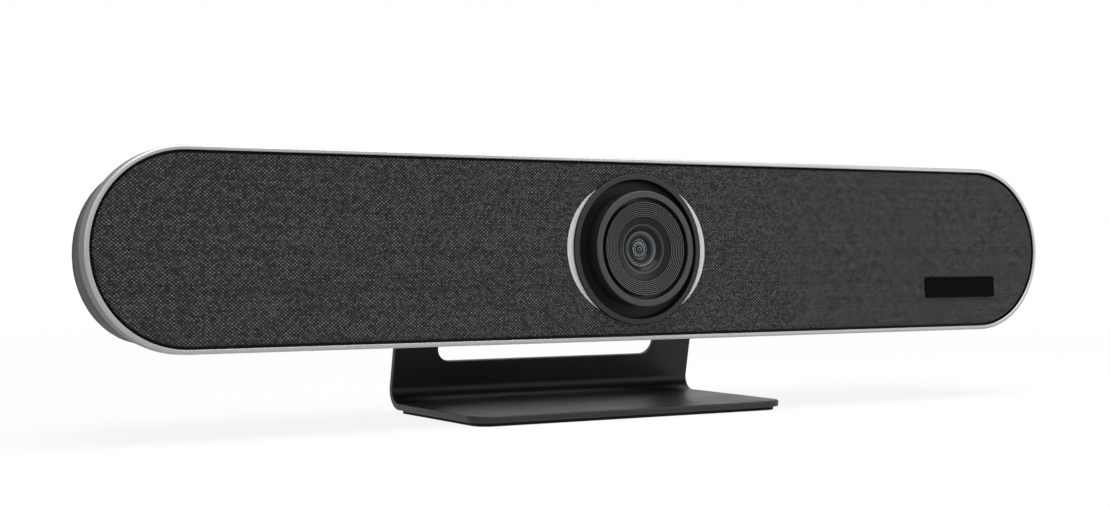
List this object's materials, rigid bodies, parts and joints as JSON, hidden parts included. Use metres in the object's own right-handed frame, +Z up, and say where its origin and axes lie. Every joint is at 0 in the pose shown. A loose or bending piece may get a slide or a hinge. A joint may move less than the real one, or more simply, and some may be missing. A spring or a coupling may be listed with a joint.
{
  "type": "conference camera",
  "caption": "Long round-ended conference camera with a wide lens in a fabric grille, tilting on a bent plate stand.",
  "frame": {"origin": "centre of the underside of the stand's rubber pad, on the table", "axes": "+X along the bar, to the right for someone facing its lens; +Y from the lens to the back; +Z up"},
  "size_m": [0.6, 0.1087, 0.1399],
  "materials": {
    "stand_coat": "fine matt powder coat",
    "pad_rubber": "matt rubber",
    "hinge_steel": "black coated steel",
    "dark_screws": "black oxide",
    "plain_screws": "bright zinc",
    "housing_plastic": "satin painted plastic",
    "frame_metal": "satin blasted aluminium",
    "panel_plastic": "moulded plastic",
    "grille_cloth": "woven melange cloth",
    "plate_black": "smooth black plate, bare",
    "cup_black": "satin moulded plastic",
    "light_white": "milky diffuser",
    "board_green": "solder mask",
    "lamp_cream": "moulded lamp",
    "hood_black": "black anodised, satin",
    "barrel_black": "black anodised, matt",
    "lens_glass": "coated optical glass",
    "filter_glass": "tinted filter glass",
    "chip_black": "moulded package",
    "sensor_blue": "sensor cover glass",
    "sheet_steel": "zinc plated sheet",
    "ribbon_amber": "polyimide film",
    "basket_steel": "black coated steel",
    "magnet_grey": "sintered magnet and plate",
    "cone_grey": "pressed cone",
    "lead_red": "insulated lead",
    "contact_gold": "gilt can",
    "gap_pad": "soft thermal sheet",
    "sink_metal": "extruded",
    "port_black": "fine texture",
    "socket_shell": "plated shell",
    "socket_black": "moulded",
    "button_grey": "satin",
    "switch_metal": "plated"
  },
  "bodies": {
    "stand": {"stand_bracket": "stand_coat", "base_pad": "pad_rubber", "hinge_barrel_left": "hinge_steel", "hinge_barrel_right": "hinge_steel", "arm_screws": "dark_screws"},
    "bar": {"hinge_leaf_left": "hinge_steel", "hinge_leaf_right": "hinge_steel", "leaf_screws": "dark_screws", "rear_housing": "housing_plastic", "front_frame": "frame_metal", "housing_screws": "dark_screws", "grille_panel": "panel_plastic", "grille_fabric": "grille_cloth", "nameplate": "plate_black", "lens_cup": "cup_black", "light_guide_left": "light_white", "light_guide_right": "light_white", "light_boards": "board_green", "status_leds": "lamp_cream", "lens_hood": "hood_black", "lens_trim_ring": "hood_black", "lens_barrel": "barrel_black", "front_lens": "lens_glass", "middle_lens": "lens_glass", "rear_lens": "lens_glass", "lens_spacers": "barrel_black", "infrared_filter": "filter_glass", "lens_mount": "chip_black", "image_sensor": "sensor_blue", "sensor_board": "board_green", "camera_bracket": "sheet_steel", "bracket_screws": "plain_screws", "camera_ribbon": "ribbon_amber", "speaker_basket_left": "basket_steel", "speaker_basket_right": "basket_steel", "speaker_magnet_left": "magnet_grey", "speaker_magnet_right": "magnet_grey", "speaker_surround_left": "pad_rubber", "speaker_surround_right": "pad_rubber", "speaker_gaskets": "pad_rubber", "speaker_chamber_left": "panel_plastic", "speaker_chamber_right": "panel_plastic", "speaker_leads": "lead_red", "microphone_boards": "board_green", "microphones": "contact_gold", "microphone_gaskets": "pad_rubber", "main_board": "board_green", "board_screws": "plain_screws", "processor": "chip_black", "thermal_pad": "gap_pad", "heat_sink": "sink_metal", "port_plate": "port_black", "network_socket": "socket_shell", "data_sockets": "socket_shell", "power_socket": "socket_black", "audio_socket": "socket_black", "power_switch": "switch_metal"},
    "left_cone": {"speaker_cone_left": "cone_grey"},
    "right_cone": {"speaker_cone_right": "cone_grey"},
    "button": {"power_button": "button_grey"}
  },
  "joints": [
    {"name": "bar_tilt", "type": "hinge", "parent": "stand", "child": "bar", "pos_m": [0, 0.03568, 0.06801], "axis": [1, 0, 0], "range_deg": [-12.5, 7.5]},
    {"name": "left_cone_travel", "type": "slide", "parent": "bar", "child": "left_cone", "axis": [0, 0.999, -0.0436], "range_m": [-0.0015, 0.0015], "stiffness_N_per_m": 800},
    {"name": "right_cone_travel", "type": "slide", "parent": "bar", "child": "right_cone", "axis": [0, 0.999, -0.0436], "range_m": [-0.0015, 0.0015], "stiffness_N_per_m": 800},
    {"name": "power_button_press", "type": "slide", "parent": "bar", "child": "button", "axis": [0, -0.999, 0.0436], "range_m": [0, 0.0006], "stiffness_N_per_m": 400}
  ]
}
